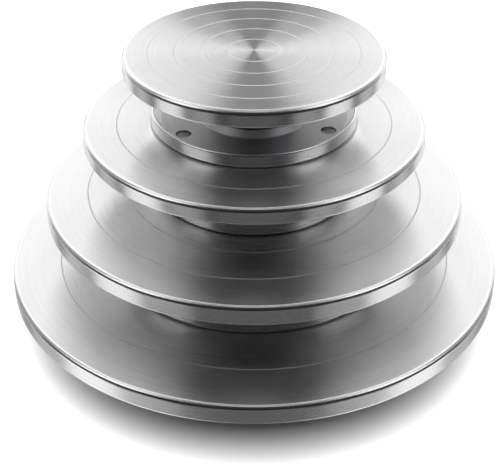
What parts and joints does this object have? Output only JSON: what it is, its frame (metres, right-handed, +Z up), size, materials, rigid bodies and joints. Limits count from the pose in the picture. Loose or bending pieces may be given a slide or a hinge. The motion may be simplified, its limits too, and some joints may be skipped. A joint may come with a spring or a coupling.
{
  "type": "cake turntable",
  "caption": "Nesting stack of round aluminium cake turntables, graduated in size, each a flat plate turning on a ball bearing over a low dished base with rubber feet.",
  "frame": {"origin": "on the turning axis, in the plane that the lowest turntable's rubber feet stand on", "axes": "+Z up along the turning axis of all four turntables; +X to the right and +Y to the back of the stack as a user faces it"},
  "size_m": [0.3, 0.3, 0.179],
  "materials": {
    "turned_aluminium": "fine spun brushing with polished edges",
    "cast_aluminium": "satin casting",
    "bearing_steel": "ground",
    "zinc_steel": "zinc plated",
    "rubber": "matt"
  },
  "bodies": {
    "base_300": {"base_300": "turned_aluminium", "spindle_300": "bearing_steel", "inner_race_300": "bearing_steel", "circlip_300": "zinc_steel", "spindle_screw_300": "zinc_steel", "foot_300_1": "rubber", "foot_300_2": "rubber", "foot_300_3": "rubber"},
    "plate_300": {"plate_300": "turned_aluminium", "hub_300": "cast_aluminium", "hub_screw_300_1": "zinc_steel", "hub_screw_300_2": "zinc_steel", "hub_screw_300_3": "zinc_steel", "outer_race_300": "bearing_steel"},
    "ball_cage_300": {"ball_cage_300": "bearing_steel"},
    "base_250": {"base_250": "turned_aluminium", "spindle_250": "bearing_steel", "inner_race_250": "bearing_steel", "circlip_250": "zinc_steel", "spindle_screw_250": "zinc_steel", "foot_250_1": "rubber", "foot_250_2": "rubber", "foot_250_3": "rubber"},
    "plate_250": {"plate_250": "turned_aluminium", "hub_250": "cast_aluminium", "hub_screw_250_1": "zinc_steel", "hub_screw_250_2": "zinc_steel", "hub_screw_250_3": "zinc_steel", "outer_race_250": "bearing_steel"},
    "ball_cage_250": {"ball_cage_250": "bearing_steel"},
    "base_200": {"base_200": "turned_aluminium", "spindle_200": "bearing_steel", "inner_race_200": "bearing_steel", "circlip_200": "zinc_steel", "spindle_screw_200": "zinc_steel", "foot_200_1": "rubber", "foot_200_2": "rubber", "foot_200_3": "rubber"},
    "plate_200": {"plate_200": "turned_aluminium", "hub_200": "cast_aluminium", "hub_screw_200_1": "zinc_steel", "hub_screw_200_2": "zinc_steel", "hub_screw_200_3": "zinc_steel", "outer_race_200": "bearing_steel"},
    "ball_cage_200": {"ball_cage_200": "bearing_steel"},
    "base_150": {"base_150": "turned_aluminium", "spindle_150": "bearing_steel", "inner_race_150": "bearing_steel", "circlip_150": "zinc_steel", "spindle_screw_150": "zinc_steel", "foot_150_1": "rubber", "foot_150_2": "rubber", "foot_150_3": "rubber"},
    "plate_150": {"plate_150": "turned_aluminium", "hub_150": "cast_aluminium", "hub_screw_150_1": "zinc_steel", "hub_screw_150_2": "zinc_steel", "hub_screw_150_3": "zinc_steel", "outer_race_150": "bearing_steel"},
    "ball_cage_150": {"ball_cage_150": "bearing_steel"}
  },
  "joints": [
    {"name": "spin_300", "type": "hinge", "parent": "base_300", "child": "plate_300", "pos_m": [0, 0, 0.023], "axis": [0, 0, 1], "continuous": true},
    {"name": "cage_spin_300", "type": "hinge", "parent": "base_300", "child": "ball_cage_300", "pos_m": [0, 0, 0.027], "axis": [0, 0, 1], "continuous": true},
    {"name": "lift_250", "type": "slide", "parent": "plate_300", "child": "base_250", "axis": [0, 0, 1], "range_m": [0, 0.06]},
    {"name": "spin_250", "type": "hinge", "parent": "base_250", "child": "plate_250", "pos_m": [0, 0, 0.069], "axis": [0, 0, 1], "continuous": true},
    {"name": "cage_spin_250", "type": "hinge", "parent": "base_250", "child": "ball_cage_250", "pos_m": [0, 0, 0.073], "axis": [0, 0, 1], "continuous": true},
    {"name": "lift_200", "type": "slide", "parent": "plate_250", "child": "base_200", "axis": [0, 0, 1], "range_m": [0, 0.06]},
    {"name": "spin_200", "type": "hinge", "parent": "base_200", "child": "plate_200", "pos_m": [0, 0, 0.114], "axis": [0, 0, 1], "continuous": true},
    {"name": "cage_spin_200", "type": "hinge", "parent": "base_200", "child": "ball_cage_200", "pos_m": [0, 0, 0.117], "axis": [0, 0, 1], "continuous": true},
    {"name": "lift_150", "type": "slide", "parent": "plate_200", "child": "base_150", "axis": [0, 0, 1], "range_m": [0, 0.06]},
    {"name": "spin_150", "type": "hinge", "parent": "base_150", "child": "plate_150", "pos_m": [0, 0, 0.1575], "axis": [0, 0, 1], "continuous": true},
    {"name": "cage_spin_150", "type": "hinge", "parent": "base_150", "child": "ball_cage_150", "pos_m": [0, 0, 0.16], "axis": [0, 0, 1], "continuous": true}
  ],
  "couplings": [
    {"joint": "cage_spin_300", "follows": "spin_300", "ratio": 0.61},
    {"joint": "cage_spin_250", "follows": "spin_250", "ratio": 0.61},
    {"joint": "cage_spin_200", "follows": "spin_200", "ratio": 0.61},
    {"joint": "cage_spin_150", "follows": "spin_150", "ratio": 0.61}
  ]
}
